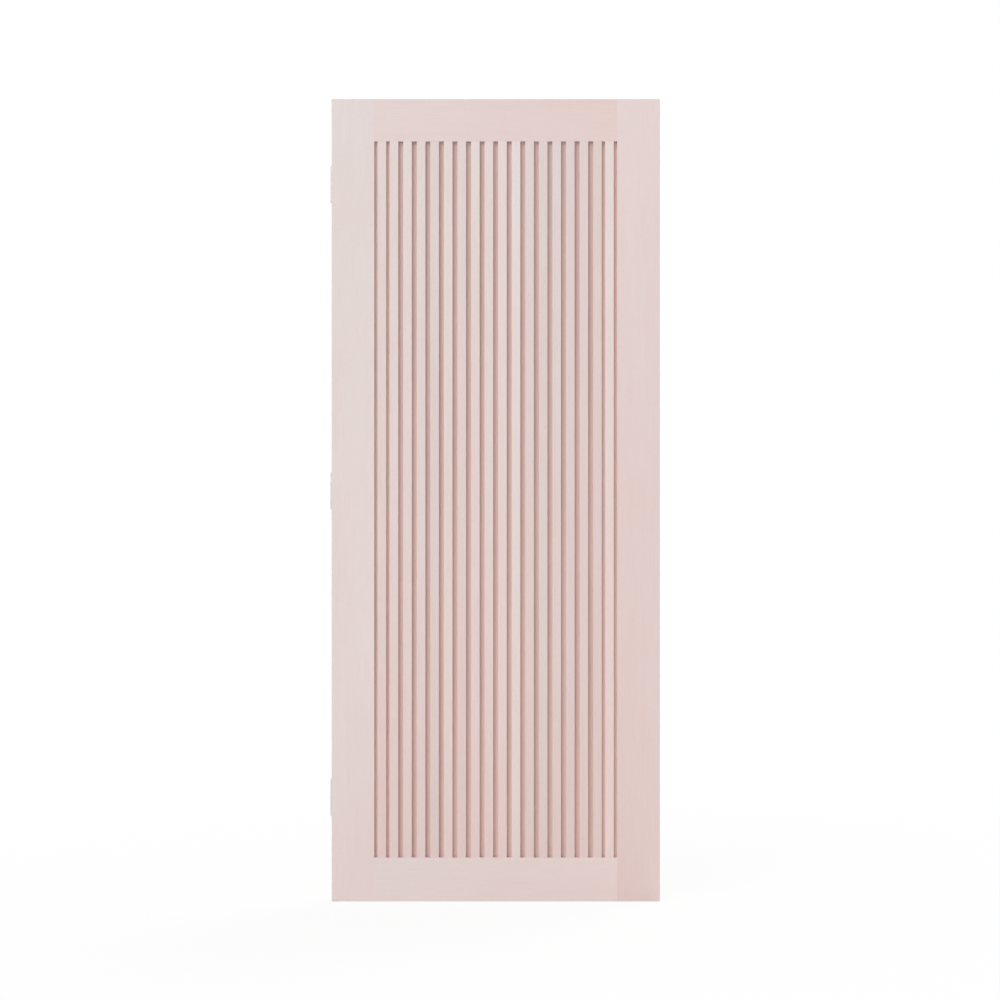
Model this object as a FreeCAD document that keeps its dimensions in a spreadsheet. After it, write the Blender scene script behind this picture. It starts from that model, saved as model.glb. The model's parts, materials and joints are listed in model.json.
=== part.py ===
import FreeCAD, Part
import os

import Sketcher

# Slatted solid wood door leaf on three butt hinges.
# X runs to the right across the leaf, Y from its front face to its back face, Z up.
# The origin is the middle of the leaf's bottom edge, halfway through its thickness.

SLAT_COUNT = 18
EDGE_GAPS_PER_SIDE = 2
DOWELS_PER_CORNER = 3
KNUCKLE_COUNT = 5
FRAME_KNUCKLES = range(0, KNUCKLE_COUNT, 2)
DOOR_KNUCKLES = range(1, KNUCKLE_COUNT, 2)
HINGES = ("bottom", "middle", "top")
LEFT, RIGHT = -1, 1

# Each row of screw holes with its spacing, staggered so that no screw heads meet in a shut hinge
DOOR_LEAF_ROWS = {"outer": "wide", "inner": "narrow"}
FRAME_LEAF_ROWS = {"outer": "narrow", "inner": "wide"}

# Driving dimensions, in millimetres
SIZES = {
    "leaf_width": 900,
    "leaf_height": 2200,
    "leaf_thickness": 40,
    "stile_width": 117,
    "top_rail_width": 116,
    "bottom_rail_width": 120,
    "outer_arris": 1.5,
    "joint_arris": 0.3,
    "groove_depth": 14,
    "tongue_thickness": 14,
    "cheek_clearance": 0.15,
    "tenon_end_clearance": 0.5,
    "slat_width": 24,
    "slat_arris": 0.8,
    "slat_groove_depth": 6,
    "edge_gap": 9,
    "strip_side_clearance": 1,
    "panel_end_clearance": 2,
    "dowel_diameter": 10,
    "dowel_length": 120,
    "dowel_chamfer": 1,
    "dowel_spacing": 32,
    "dowel_clearance": 0.05,
    "dowel_end_clearance": 1.5,
    "hinge_height": 100,
    "hinge_reach": 24.5,
    "plate_thickness": 2.5,
    "plate_gap": 1.2,
    "plate_clearance": 0.1,
    "knuckle_diameter": 11,
    "knuckle_end_clearance": 0.3,
    "barrel_clearance": 0.5,
    "neck_bite": 1.5,
    "pin_diameter": 6,
    "pin_clearance": 0.05,
    "pin_head_diameter": 9.5,
    "pin_head_height": 1.8,
    "pin_chamfer": 0.6,
    "top_hinge_drop": 180,
    "bottom_hinge_lift": 230,
    "screw_diameter": 4,
    "screw_head_diameter": 8,
    "screw_length": 32,
    "screw_point": 6,
    "screw_clearance": 0.1,
    "screw_end_clearance": 1.5,
    "recess_width": 1.1,
    "recess_length": 4.4,
    "recess_depth": 1.2,
    "outer_hole_reach": 18.8,
    "inner_hole_reach": 12,
    "wide_hole_spacing": 76,
    "narrow_hole_spacing": 28,
}

# Dimensions that follow from the driving ones
LAYOUT = {
    "half_thickness": "sizes.leaf_thickness / 2",
    "opening_width": "sizes.leaf_width - 2 * sizes.stile_width",
    "opening_height": "sizes.leaf_height - sizes.top_rail_width - sizes.bottom_rail_width",
    "groove_half": "sizes.tongue_thickness / 2 + sizes.cheek_clearance",
    "tenon_length": "sizes.groove_depth - sizes.tenon_end_clearance",
    "panel_tongue": "sizes.groove_depth - sizes.panel_end_clearance",
    "stile_lap": "sizes.groove_depth - sizes.strip_side_clearance",
    "slat_lap": "sizes.slat_groove_depth - sizes.strip_side_clearance",
    "slat_half": "sizes.slat_width / 2",
    "web_half": "sizes.slat_width / 2 - sizes.slat_groove_depth",
    "inner_gap": f"(sizes.leaf_width - 2 * sizes.stile_width - {SLAT_COUNT} * sizes.slat_width"
                 f" - {2 * EDGE_GAPS_PER_SIDE} * sizes.edge_gap) / {SLAT_COUNT + 1 - 2 * EDGE_GAPS_PER_SIDE}",
    "top_dowel_height": "sizes.leaf_height - (sizes.top_rail_width - sizes.groove_depth) / 2",
    "bottom_dowel_height": "(sizes.bottom_rail_width - sizes.groove_depth) / 2",
    "dowel_radius": "sizes.dowel_diameter / 2",
    "dowel_hole_radius": "sizes.dowel_diameter / 2 + sizes.dowel_clearance",
    "dowel_hole_depth": "sizes.dowel_length / 2 + sizes.dowel_end_clearance",
    "knuckle_radius": "sizes.knuckle_diameter / 2",
    "knuckle_pitch": f"sizes.hinge_height / {KNUCKLE_COUNT}",
    "barrel_room": "sizes.knuckle_diameter / 2 + sizes.barrel_clearance",
    "hinge_axis_x": "-(sizes.leaf_width + sizes.plate_gap) / 2",
    "hinge_axis_y": "sizes.leaf_thickness / 2 + sizes.knuckle_diameter / 2 + sizes.barrel_clearance",
    "bottom_hinge_base": "sizes.bottom_hinge_lift",
    "top_hinge_base": "sizes.leaf_height - sizes.top_hinge_drop - sizes.hinge_height",
    "middle_hinge_base": "(sizes.bottom_hinge_lift + sizes.leaf_height - sizes.top_hinge_drop"
                         " - sizes.hinge_height) / 2",
    "pin_radius": "sizes.pin_diameter / 2",
    "pin_bore_radius": "sizes.pin_diameter / 2 + sizes.pin_clearance",
    "pin_head_radius": "sizes.pin_head_diameter / 2",
    "screw_radius": "sizes.screw_diameter / 2",
    "screw_head_radius": "sizes.screw_head_diameter / 2",
    "screw_head_height": "(sizes.screw_head_diameter - sizes.screw_diameter) / 2",
    "screw_hole_diameter": "sizes.screw_diameter + 2 * sizes.screw_clearance",
    "screw_seat_diameter": "sizes.screw_head_diameter + 2 * sizes.screw_clearance",
    "screw_hole_depth": "sizes.screw_length + sizes.screw_end_clearance",
}

COUNTERSINK_ANGLE = 90

doc = FreeCAD.newDocument("slatted_door")


def make_sheet(name, cells):
    """A spreadsheet with one aliased cell in column A for each named value."""
    sheet = doc.addObject("Spreadsheet::Sheet", name)
    for row, (alias, content) in enumerate(cells.items(), start=1):
        sheet.set(f"A{row}", str(content))
        sheet.setAlias(f"A{row}", alias)
    doc.recompute()
    return sheet


sizes = make_sheet("sizes", SIZES)
layout = make_sheet("layout", {alias: f"={formula}" for alias, formula in LAYOUT.items()})


def make_body(label, x="0", y="0", z="0"):
    """An empty body whose placement follows three expressions."""
    body = doc.addObject("PartDesign::Body", label)
    body.Label = label
    for axis, place in zip("xyz", (x, y, z)):
        body.setExpression(f"Placement.Base.{axis}", place)
    return body


def make_sketch(body, name, plane_role, offset="0"):
    """A sketch on one of the body's own origin planes, moved along the plane's normal by offset."""
    plane = next(item for item in body.Origin.OriginFeatures if item.Role == plane_role)
    sketch = body.newObject("Sketcher::SketchObject", name)
    sketch.AttachmentSupport = (plane, [""])
    sketch.MapMode = "FlatFace"
    sketch.setExpression("AttachmentOffset.Base.z", offset)
    return sketch


def bind_point(sketch, geometry, position, x, y):
    """Tie one point of a sketch to the origin by two expressions."""
    for kind, place in (("DistanceX", x), ("DistanceY", y)):
        value = layout.evalExpression(place)
        index = sketch.addConstraint(Sketcher.Constraint(kind, -1, 1, geometry, position, value))
        sketch.setExpression(f"Constraints[{index}]", place)


def draw_outline(sketch, points):
    """A closed outline of straight lines through points given as pairs of expressions."""
    corners = [FreeCAD.Vector(layout.evalExpression(x), layout.evalExpression(y)) for x, y in points]
    following = corners[1:] + corners[:1]
    lines = [sketch.addGeometry(Part.LineSegment(a, b)) for a, b in zip(corners, following)]
    for line, next_line in zip(lines, lines[1:] + lines[:1]):
        sketch.addConstraint(Sketcher.Constraint("Coincident", line, 2, next_line, 1))
    for line, (x, y) in zip(lines, points):
        bind_point(sketch, line, 1, x, y)


def draw_rectangle(sketch, left, right, low, high):
    draw_outline(sketch, [(left, low), (right, low), (right, high), (left, high)])


def draw_circle(sketch, x, y, radius):
    """A circle whose centre and radius are expressions."""
    centre = FreeCAD.Vector(layout.evalExpression(x), layout.evalExpression(y))
    size = layout.evalExpression(radius)
    circle = sketch.addGeometry(Part.Circle(centre, FreeCAD.Vector(0, 0, 1), size))
    bind_point(sketch, circle, 3, x, y)
    index = sketch.addConstraint(Sketcher.Constraint("Radius", circle, size))
    sketch.setExpression(f"Constraints[{index}]", radius)


def pad(body, sketch, length, side_type="One side", reverse=False):
    feature = body.newObject("PartDesign::Pad", f"{sketch.Name}_pad")
    feature.Profile = sketch
    feature.SideType = side_type
    feature.Reversed = reverse
    feature.setExpression("Length", length)
    return feature


def pocket(body, sketch, depth, reverse=False):
    """A cut of the given depth, against the sketch's normal unless reversed."""
    feature = body.newObject("PartDesign::Pocket", f"{sketch.Name}_pocket")
    feature.Profile = sketch
    feature.Reversed = reverse
    feature.setExpression("Length", depth)
    return feature


def pocket_through(body, sketch):
    """A cut right through the body, both ways from the sketch."""
    feature = body.newObject("PartDesign::Pocket", f"{sketch.Name}_pocket")
    feature.Profile = sketch
    feature.SideType = "Symmetric"
    feature.Type = "ThroughAll"
    return feature


def revolve(body, sketch, axis):
    """A full turn of the sketch about its own H_Axis or V_Axis."""
    feature = body.newObject("PartDesign::Revolution", f"{sketch.Name}_turn")
    feature.Profile = sketch
    feature.ReferenceAxis = (sketch, [axis])
    feature.Angle = 360
    return feature


def drill_screw_holes(body, sketch, depth=None, reverse=False):
    """Countersunk screw holes at the sketch's circles, right through unless a depth is given."""
    doc.recompute()
    hole = body.newObject("PartDesign::Hole", f"{sketch.Name}_hole")
    hole.Profile = sketch
    hole.Reversed = reverse
    hole.DepthType = "Dimension" if depth else "ThroughAll"
    hole.DrillPoint = "Flat"
    hole.HoleCutType = "Countersink"
    hole.HoleCutCustomValues = True
    hole.HoleCutCountersinkAngle = COUNTERSINK_ANGLE
    hole.setExpression("Diameter", "layout.screw_hole_diameter")
    hole.setExpression("HoleCutDiameter", "layout.screw_seat_diameter")
    if depth:
        hole.setExpression("Depth", depth)
    return hole


def make_group(label, members):
    """One node that holds several separate solids."""
    group = doc.addObject("Part::Compound", label)
    group.Label = label
    group.Links = members
    return group


# Stiles and rails

def dowel_heights(end):
    """The heights of one corner's dowels, spread evenly about the middle of the rail's solid wood."""
    middle = (DOWELS_PER_CORNER - 1) / 2
    return [f"layout.{end}_dowel_height + {index - middle} * sizes.dowel_spacing"
            for index in range(DOWELS_PER_CORNER)]


def make_stile(label, side):
    """A full-height upright; its inner edge is at local x = 0 and its outer edge lies on the given side."""
    stile = make_body(label, x=f"{side} * layout.opening_width / 2")

    section = make_sketch(stile, f"{label}_section", "XY_Plane")
    depth_points = [
        ("sizes.joint_arris", "-layout.half_thickness"),
        ("sizes.stile_width - sizes.outer_arris", "-layout.half_thickness"),
        ("sizes.stile_width", "-layout.half_thickness + sizes.outer_arris"),
        ("sizes.stile_width", "layout.half_thickness - sizes.outer_arris"),
        ("sizes.stile_width - sizes.outer_arris", "layout.half_thickness"),
        ("sizes.joint_arris", "layout.half_thickness"),
        ("0", "layout.half_thickness - sizes.joint_arris"),
        ("0", "layout.groove_half"),
        ("sizes.groove_depth", "layout.groove_half"),
        ("sizes.groove_depth", "-layout.groove_half"),
        ("0", "-layout.groove_half"),
        ("0", "-layout.half_thickness + sizes.joint_arris"),
    ]
    draw_outline(section, [(f"{side} * ({x})", y) for x, y in depth_points])
    pad(stile, section, "sizes.leaf_height")

    ends = make_sketch(stile, f"{label}_end_arrises", "YZ_Plane")
    for face in ("-", ""):
        outer = f"{face}layout.half_thickness"
        inner = f"{face}(layout.half_thickness - sizes.outer_arris)"
        draw_outline(ends, [(outer, "0"), (inner, "0"), (outer, "sizes.outer_arris")])
        draw_outline(ends, [(outer, "sizes.leaf_height"), (inner, "sizes.leaf_height"),
                            (outer, "sizes.leaf_height - sizes.outer_arris")])
    pocket_through(stile, ends)

    dowel_holes = make_sketch(stile, f"{label}_dowel_holes", "YZ_Plane")
    for height in dowel_heights("bottom") + dowel_heights("top"):
        draw_circle(dowel_holes, "0", height, "layout.dowel_hole_radius")
    pocket(stile, dowel_holes, "layout.dowel_hole_depth", reverse=side == RIGHT)
    return stile


def cut_hinge_seats(stile, side):
    """The shallow seats for the hinge plates, and the screw holes behind them."""
    outer_edge = f"{side} * sizes.stile_width"
    seats = make_sketch(stile, "hinge_seats", "YZ_Plane", outer_edge)
    holes = make_sketch(stile, "hinge_screw_holes", "YZ_Plane", outer_edge)
    for hinge in HINGES:
        base = f"layout.{hinge}_hinge_base"
        draw_rectangle(seats, "layout.hinge_axis_y - sizes.hinge_reach - sizes.plate_clearance",
                       "layout.hinge_axis_y", f"{base} - sizes.plate_clearance",
                       f"{base} + sizes.hinge_height + sizes.plate_clearance")
        for reach, height in screw_places(DOOR_LEAF_ROWS):
            draw_circle(holes, f"layout.hinge_axis_y - {reach}", f"{base} + {height}", "layout.screw_radius")
    pocket(stile, seats, "sizes.plate_thickness", reverse=side == LEFT)
    drill_screw_holes(stile, holes, "layout.screw_hole_depth", reverse=side == LEFT)


def make_rail(label, base, width, upward):
    """A cross member; local z runs from its outer edge to its grooved inner edge, up or down."""
    rail = make_body(label, z=base)

    section = make_sketch(rail, f"{label}_section", "YZ_Plane")
    height_points = [
        ("-layout.half_thickness", "sizes.outer_arris"),
        ("-layout.half_thickness + sizes.outer_arris", "0"),
        ("layout.half_thickness - sizes.outer_arris", "0"),
        ("layout.half_thickness", "sizes.outer_arris"),
        ("layout.half_thickness", f"{width} - sizes.joint_arris"),
        ("layout.half_thickness - sizes.joint_arris", width),
        ("layout.groove_half", width),
        ("layout.groove_half", f"{width} - sizes.groove_depth"),
        ("-layout.groove_half", f"{width} - sizes.groove_depth"),
        ("-layout.groove_half", width),
        ("-layout.half_thickness + sizes.joint_arris", width),
        ("-layout.half_thickness", f"{width} - sizes.joint_arris"),
    ]
    draw_outline(section, [(y, f"{upward} * ({z})") for y, z in height_points])
    pad(rail, section, "layout.opening_width", side_type="Symmetric")

    tenon = make_sketch(rail, f"{label}_tenon", "YZ_Plane")
    draw_rectangle(tenon, "-sizes.tongue_thickness / 2", "sizes.tongue_thickness / 2",
                   "0", f"{upward} * ({width} - sizes.groove_depth)")
    pad(rail, tenon, "layout.opening_width + 2 * layout.tenon_length", side_type="Symmetric")

    end = "bottom" if upward == 1 else "top"
    for side in (LEFT, RIGHT):
        tenon_end = f"{side} * (layout.opening_width / 2 + layout.tenon_length)"
        holes = make_sketch(rail, f"{label}_dowel_holes", "YZ_Plane", tenon_end)
        for height in dowel_heights(end):
            draw_circle(holes, "0", f"{height} - ({base})", "layout.dowel_hole_radius")
        pocket(rail, holes, "layout.tenon_length + layout.dowel_hole_depth", reverse=side == LEFT)
    return rail


# Slats and the strips that close the gaps between them

def narrow_and_wide_gaps(count):
    """How many of the first gaps from the left stile are narrow edge gaps, and how many are inner gaps."""
    inner_total = SLAT_COUNT + 1 - 2 * EDGE_GAPS_PER_SIDE
    inner = min(max(count - EDGE_GAPS_PER_SIDE, 0), inner_total)
    return count - inner, inner


def slat_edge(index):
    """The left edge of a slat, counted from 0 at the left; the count itself gives the right stile."""
    narrow, wide = narrow_and_wide_gaps(index + 1)
    return (f"(-layout.opening_width / 2 + {narrow} * sizes.edge_gap + {wide} * layout.inner_gap"
            f" + {index} * sizes.slat_width)")


def make_slat(index):
    """One upright slat, grooved along both edges, its lower shoulder at local z = 0."""
    slat = make_body(f"slat_{index + 1:02d}", x=f"{slat_edge(index)} + layout.slat_half",
                     z="sizes.bottom_rail_width")

    section = make_sketch(slat, "slat_section", "XY_Plane")
    right_half = [
        ("layout.slat_half - sizes.slat_arris", "-layout.half_thickness"),
        ("layout.slat_half", "-layout.half_thickness + sizes.slat_arris"),
        ("layout.slat_half", "-layout.groove_half"),
        ("layout.web_half", "-layout.groove_half"),
        ("layout.web_half", "layout.groove_half"),
        ("layout.slat_half", "layout.groove_half"),
        ("layout.slat_half", "layout.half_thickness - sizes.slat_arris"),
        ("layout.slat_half - sizes.slat_arris", "layout.half_thickness"),
    ]
    left_half = [(f"-({x})", y) for x, y in reversed(right_half)]
    draw_outline(section, right_half + left_half)
    pad(slat, section, "layout.opening_height")

    tenons = make_sketch(slat, "slat_tenons", "XY_Plane", "-layout.panel_tongue")
    draw_rectangle(tenons, "-layout.web_half", "layout.web_half",
                   "-sizes.tongue_thickness / 2", "sizes.tongue_thickness / 2")
    pad(slat, tenons, "layout.opening_height + 2 * layout.panel_tongue")
    return slat


def make_gap_strip(index):
    """The loose tongue that closes one gap; the outermost two reach into the stiles' grooves."""
    left_lap = "layout.stile_lap" if index == 0 else "layout.slat_lap"
    right_lap = "layout.stile_lap" if index == SLAT_COUNT else "layout.slat_lap"
    gap_right = slat_edge(index)
    gap_left = "-layout.opening_width / 2" if index == 0 else f"{slat_edge(index - 1)} + sizes.slat_width"
    strip = make_body(f"gap_strip_{index + 1:02d}", x=gap_left,
                      z="sizes.bottom_rail_width - layout.panel_tongue")

    section = make_sketch(strip, "strip_section", "XY_Plane")
    draw_rectangle(section, f"-{left_lap}", f"{gap_right} - ({gap_left}) + {right_lap}",
                   "-sizes.tongue_thickness / 2", "sizes.tongue_thickness / 2")
    pad(strip, section, "layout.opening_height + 2 * layout.panel_tongue")
    return strip


def make_dowels(end, side):
    """The dowels of one frame corner, each half in the rail and half in the stile."""
    side_name = "left" if side == LEFT else "right"
    label = f"{end}_{side_name}_dowels"
    members = []
    for height in dowel_heights(end):
        dowel = make_body(f"{label}_peg", x=f"{side} * layout.opening_width / 2 - sizes.dowel_length / 2",
                          z=height)
        profile = make_sketch(dowel, "dowel_profile", "XY_Plane")
        draw_outline(profile, [
            ("0", "0"),
            ("0", "layout.dowel_radius - sizes.dowel_chamfer"),
            ("sizes.dowel_chamfer", "layout.dowel_radius"),
            ("sizes.dowel_length - sizes.dowel_chamfer", "layout.dowel_radius"),
            ("sizes.dowel_length", "layout.dowel_radius - sizes.dowel_chamfer"),
            ("sizes.dowel_length", "0"),
        ])
        revolve(dowel, profile, "H_Axis")
        members.append(dowel)
    return make_group(label, members)


# Hinges: local z is the pin's axis, and z = 0 is the lower end of the barrel

def screw_places(rows):
    """Each screw's distance from the pin's axis and height on its hinge."""
    places = []
    for row, spacing in rows.items():
        for half in ("-", "+"):
            height = f"sizes.hinge_height / 2 {half} sizes.{spacing}_hole_spacing / 2"
            places.append((f"sizes.{row}_hole_reach", height))
    return places


def knuckle_ends(index):
    """The lower and upper end of one knuckle, with half the end clearance left at each."""
    low = f"{index} * layout.knuckle_pitch + sizes.knuckle_end_clearance / 2"
    high = f"{index + 1} * layout.knuckle_pitch - sizes.knuckle_end_clearance / 2"
    return low, high


def make_hinge_leaf(label, base, knuckles, rows, side):
    """A flat plate with its own knuckles and screw holes, on the given side of the pin's axis."""
    leaf = make_body(label, x="layout.hinge_axis_x", y="layout.hinge_axis_y", z=base)
    inner_face = f"{side} * sizes.plate_gap / 2"

    plate = make_sketch(leaf, "plate_outline", "YZ_Plane", inner_face)
    neck_end = "sizes.neck_bite - layout.knuckle_radius"
    draw_rectangle(plate, "-sizes.hinge_reach", "-layout.barrel_room", "0", "sizes.hinge_height")
    pad(leaf, plate, "sizes.plate_thickness", reverse=side == LEFT)

    for index in knuckles:
        low, high = knuckle_ends(index)
        neck = make_sketch(leaf, "neck_outline", "YZ_Plane", inner_face)
        draw_rectangle(neck, "-layout.barrel_room - sizes.neck_bite", neck_end, low, high)
        pad(leaf, neck, "sizes.plate_thickness", reverse=side == LEFT)
        knuckle = make_sketch(leaf, "knuckle_circle", "XY_Plane", low)
        draw_circle(knuckle, "0", "0", "layout.knuckle_radius")
        pad(leaf, knuckle, f"{high} - ({low})")

    bore = make_sketch(leaf, "pin_bore", "XY_Plane")
    draw_circle(bore, "0", "0", "layout.pin_bore_radius")
    pocket_through(leaf, bore)

    holes = make_sketch(leaf, "screw_holes", "YZ_Plane", inner_face)
    for reach, height in screw_places(rows):
        draw_circle(holes, f"-{reach}", height, "layout.screw_radius")
    drill_screw_holes(leaf, holes, reverse=side == RIGHT)
    return leaf


def make_hinge_pin(label, base):
    """A plain pin with a button head that rests on the top knuckle."""
    pin = make_body(label, x="layout.hinge_axis_x", y="layout.hinge_axis_y", z=base)
    profile = make_sketch(pin, "pin_profile", "XZ_Plane")
    head_top = "sizes.hinge_height + sizes.pin_head_height"
    draw_outline(profile, [
        ("0", "0"),
        ("layout.pin_radius - sizes.pin_chamfer", "0"),
        ("layout.pin_radius", "sizes.pin_chamfer"),
        ("layout.pin_radius", "sizes.hinge_height"),
        ("layout.pin_head_radius", "sizes.hinge_height"),
        ("layout.pin_head_radius", f"{head_top} - sizes.pin_chamfer"),
        ("layout.pin_head_radius - sizes.pin_chamfer", head_top),
        ("0", head_top),
    ])
    revolve(pin, profile, "V_Axis")
    return pin


def make_screw(label, y, z):
    """A countersunk screw along X, its head flush with the leaf's left edge."""
    screw = make_body(label, x="-sizes.leaf_width / 2", y=y, z=z)
    profile = make_sketch(screw, "screw_profile", "XY_Plane")
    draw_outline(profile, [
        ("0", "0"),
        ("0", "layout.screw_head_radius"),
        ("layout.screw_head_height", "layout.screw_radius"),
        ("sizes.screw_length - sizes.screw_point", "layout.screw_radius"),
        ("sizes.screw_length", "0"),
    ])
    revolve(screw, profile, "H_Axis")

    recess = make_sketch(screw, "cross_recess", "YZ_Plane")
    arm, half = "sizes.recess_length / 2", "sizes.recess_width / 2"
    draw_outline(recess, [
        (arm, half), (half, half), (half, arm), (f"-{half}", arm), (f"-{half}", half), (f"-{arm}", half),
        (f"-{arm}", f"-{half}"), (f"-{half}", f"-{half}"), (f"-{half}", f"-{arm}"),
        (half, f"-{arm}"), (half, f"-{half}"), (arm, f"-{half}"),
    ])
    pocket(screw, recess, "sizes.recess_depth", reverse=True)
    return screw


def make_hinge_screws():
    """The screws that hold all the hinges' plates to the left stile."""
    members = []
    for hinge in HINGES:
        for reach, height in screw_places(DOOR_LEAF_ROWS):
            members.append(make_screw(f"{hinge}_hinge_screw", f"layout.hinge_axis_y - {reach}",
                                      f"layout.{hinge}_hinge_base + {height}"))
    return make_group("hinge_screws", members)


# The whole door

def make_door():
    """Every sub-part of the door, in the order of its assembly."""
    left_stile = make_stile("left_stile", LEFT)
    cut_hinge_seats(left_stile, LEFT)
    parts = [
        left_stile,
        make_stile("right_stile", RIGHT),
        make_rail("top_rail", "sizes.leaf_height", "sizes.top_rail_width", upward=-1),
        make_rail("bottom_rail", "0", "sizes.bottom_rail_width", upward=1),
    ]
    parts += [make_slat(index) for index in range(SLAT_COUNT)]
    parts += [make_gap_strip(index) for index in range(SLAT_COUNT + 1)]
    parts += [make_dowels(end, side) for end in ("top", "bottom") for side in (LEFT, RIGHT)]
    for hinge in HINGES:
        base = f"layout.{hinge}_hinge_base"
        name = f"{hinge}_hinge"
        parts.append(make_hinge_leaf(f"{name}_door_leaf", base, DOOR_KNUCKLES, DOOR_LEAF_ROWS, RIGHT))
        parts.append(make_hinge_leaf(f"{name}_frame_leaf", base, FRAME_KNUCKLES, FRAME_LEAF_ROWS, LEFT))
        parts.append(make_hinge_pin(f"{name}_pin", base))
    parts.append(make_hinge_screws())
    return parts


def check_model(parts):
    """Stop if a feature failed, a cut removed nothing, or a sub-part has no valid shape."""
    for item in doc.Objects:
        if "Invalid" in item.State or "Error" in item.State:
            raise RuntimeError(f"{item.Label} failed: {item.State}")
        if item.TypeId in ("PartDesign::Pocket", "PartDesign::Hole"):
            if item.Shape.Volume >= item.BaseFeature.Shape.Volume:
                raise RuntimeError(f"{item.Label} cuts nothing")
    for part in parts:
        if part.Shape.isNull() or not part.Shape.isValid():
            raise RuntimeError(f"{part.Label} has no valid shape")


def write_parts(parts):
    os.makedirs("parts", exist_ok=True)
    for part in parts:
        part.Shape.exportStep(f"parts/{part.Label}.step")


door = make_door()
doc.recompute()
check_model(door)
write_parts(door)
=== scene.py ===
import json
import math
import random

import bmesh
import bpy
from bpy.props import FloatProperty, FloatVectorProperty, PointerProperty
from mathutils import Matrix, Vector

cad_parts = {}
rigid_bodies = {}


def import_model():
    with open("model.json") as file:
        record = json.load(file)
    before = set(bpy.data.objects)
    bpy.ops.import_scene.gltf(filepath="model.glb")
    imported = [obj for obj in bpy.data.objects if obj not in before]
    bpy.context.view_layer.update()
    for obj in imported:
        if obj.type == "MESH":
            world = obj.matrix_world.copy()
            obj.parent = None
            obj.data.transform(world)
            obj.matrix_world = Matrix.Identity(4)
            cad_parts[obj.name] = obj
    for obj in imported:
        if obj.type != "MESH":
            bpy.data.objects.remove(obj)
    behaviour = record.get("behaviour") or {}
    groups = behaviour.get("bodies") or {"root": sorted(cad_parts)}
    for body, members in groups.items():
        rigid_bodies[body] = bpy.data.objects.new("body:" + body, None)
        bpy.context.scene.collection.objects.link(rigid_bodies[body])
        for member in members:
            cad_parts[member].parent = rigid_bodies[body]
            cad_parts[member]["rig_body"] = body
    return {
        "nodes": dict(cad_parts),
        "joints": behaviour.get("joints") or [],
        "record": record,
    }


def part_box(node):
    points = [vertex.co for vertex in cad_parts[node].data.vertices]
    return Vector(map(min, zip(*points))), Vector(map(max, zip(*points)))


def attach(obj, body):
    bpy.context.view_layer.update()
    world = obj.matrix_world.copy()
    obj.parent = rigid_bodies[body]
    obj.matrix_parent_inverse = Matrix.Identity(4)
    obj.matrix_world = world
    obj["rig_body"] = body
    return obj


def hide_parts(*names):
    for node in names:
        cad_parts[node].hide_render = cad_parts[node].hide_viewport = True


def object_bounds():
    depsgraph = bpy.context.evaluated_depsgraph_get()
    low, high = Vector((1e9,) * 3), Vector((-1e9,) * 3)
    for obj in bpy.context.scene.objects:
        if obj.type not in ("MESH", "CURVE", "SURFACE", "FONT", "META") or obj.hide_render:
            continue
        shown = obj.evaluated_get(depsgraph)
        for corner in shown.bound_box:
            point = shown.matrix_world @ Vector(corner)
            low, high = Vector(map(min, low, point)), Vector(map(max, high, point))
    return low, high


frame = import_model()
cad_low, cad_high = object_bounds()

bl_info = {
    "name": "Slatted Wood Door",
    "version": (1, 0, 0),
    "blender": (4, 5, 0),
    "location": "View3D > Sidebar > Slatted Door",
    "description": "Models the boards and hinges of a slatted wood door and sets up its studio",
    "category": "Object",
}

# The door's pieces, named as in the frame, with their colours and the axis that they turn on
HINGES = ("bottom", "middle", "top")
SLATS = sorted(name for name in frame["nodes"] if name.startswith("slat_"))
STRIPS = sorted(name for name in frame["nodes"] if name.startswith("gap_strip_"))
STRIPS_PER_EDGE = 2
EDGE_STRIPS = STRIPS[:STRIPS_PER_EDGE] + STRIPS[-STRIPS_PER_EDGE:]
DOWELS = sorted(name for name in frame["nodes"] if name.endswith("_dowels"))
SLOT_COLOURS = {entry["slot"]: entry["base_color"] for entry in frame["record"]["materials"]}
PIN_AXIS = Vector(frame["joints"][0]["pos_m"])

# Knuckles of a hinge, which the frame leaf and the door leaf share by turns from the bottom up
KNUCKLE_COUNT = 5
FRAME_KNUCKLES = range(0, KNUCKLE_COUNT, 2)
DOOR_KNUCKLES = range(1, KNUCKLE_COUNT, 2)

# Directions and units
X_AXIS, Y_AXIS, Z_AXIS = 0, 1, 2
LEFT, RIGHT = -1, 1
DOWN, UP = -1, 1
BACK = 1
QUARTER_TURN = math.radians(90)
MM_PER_M = 1000

# How close counts as touching, as the same width, as facing along an axis and as flat
TOUCH = 1e-5
WIDTH_DIGITS = 5
FACING_SHARE = 0.99
FLAT_ANGLE = math.radians(0.1)

# How finely round forms are divided, and which edges are shaded smooth
ARRIS_STEPS = 4
EDGE_STEPS = 2
HOLE_SIDES = 32
BARREL_SIDES = 64
SMOOTH_ANGLE = math.radians(35)
STEEL_SMOOTH_ANGLE = math.radians(20)

# Small forms of the pins and screws, as shares of their head height, radius or mouth
PIN_HEAD_DOME = 0.7
PIN_FOOT_ROUNDING = 0.2
SCREW_TIP = 0.05
RECESS_FLOOR = 0.7

# How rosy each board is at its two ends, from 0 for the pale tone to 1 for the rosy one
STILE_TONES = {"left_stile": (0.53, 0.15), "right_stile": (0.98, 0.58)}
RAIL_TONES = {"top_rail": (0.55, 0.95), "bottom_rail": (0.34, 0.72)}
SLAT_TONES = (1.0, 0.42)
STRIP_TONES = (0.15, 0.0)
SLAT_TONE_SPREAD = 0.14

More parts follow.
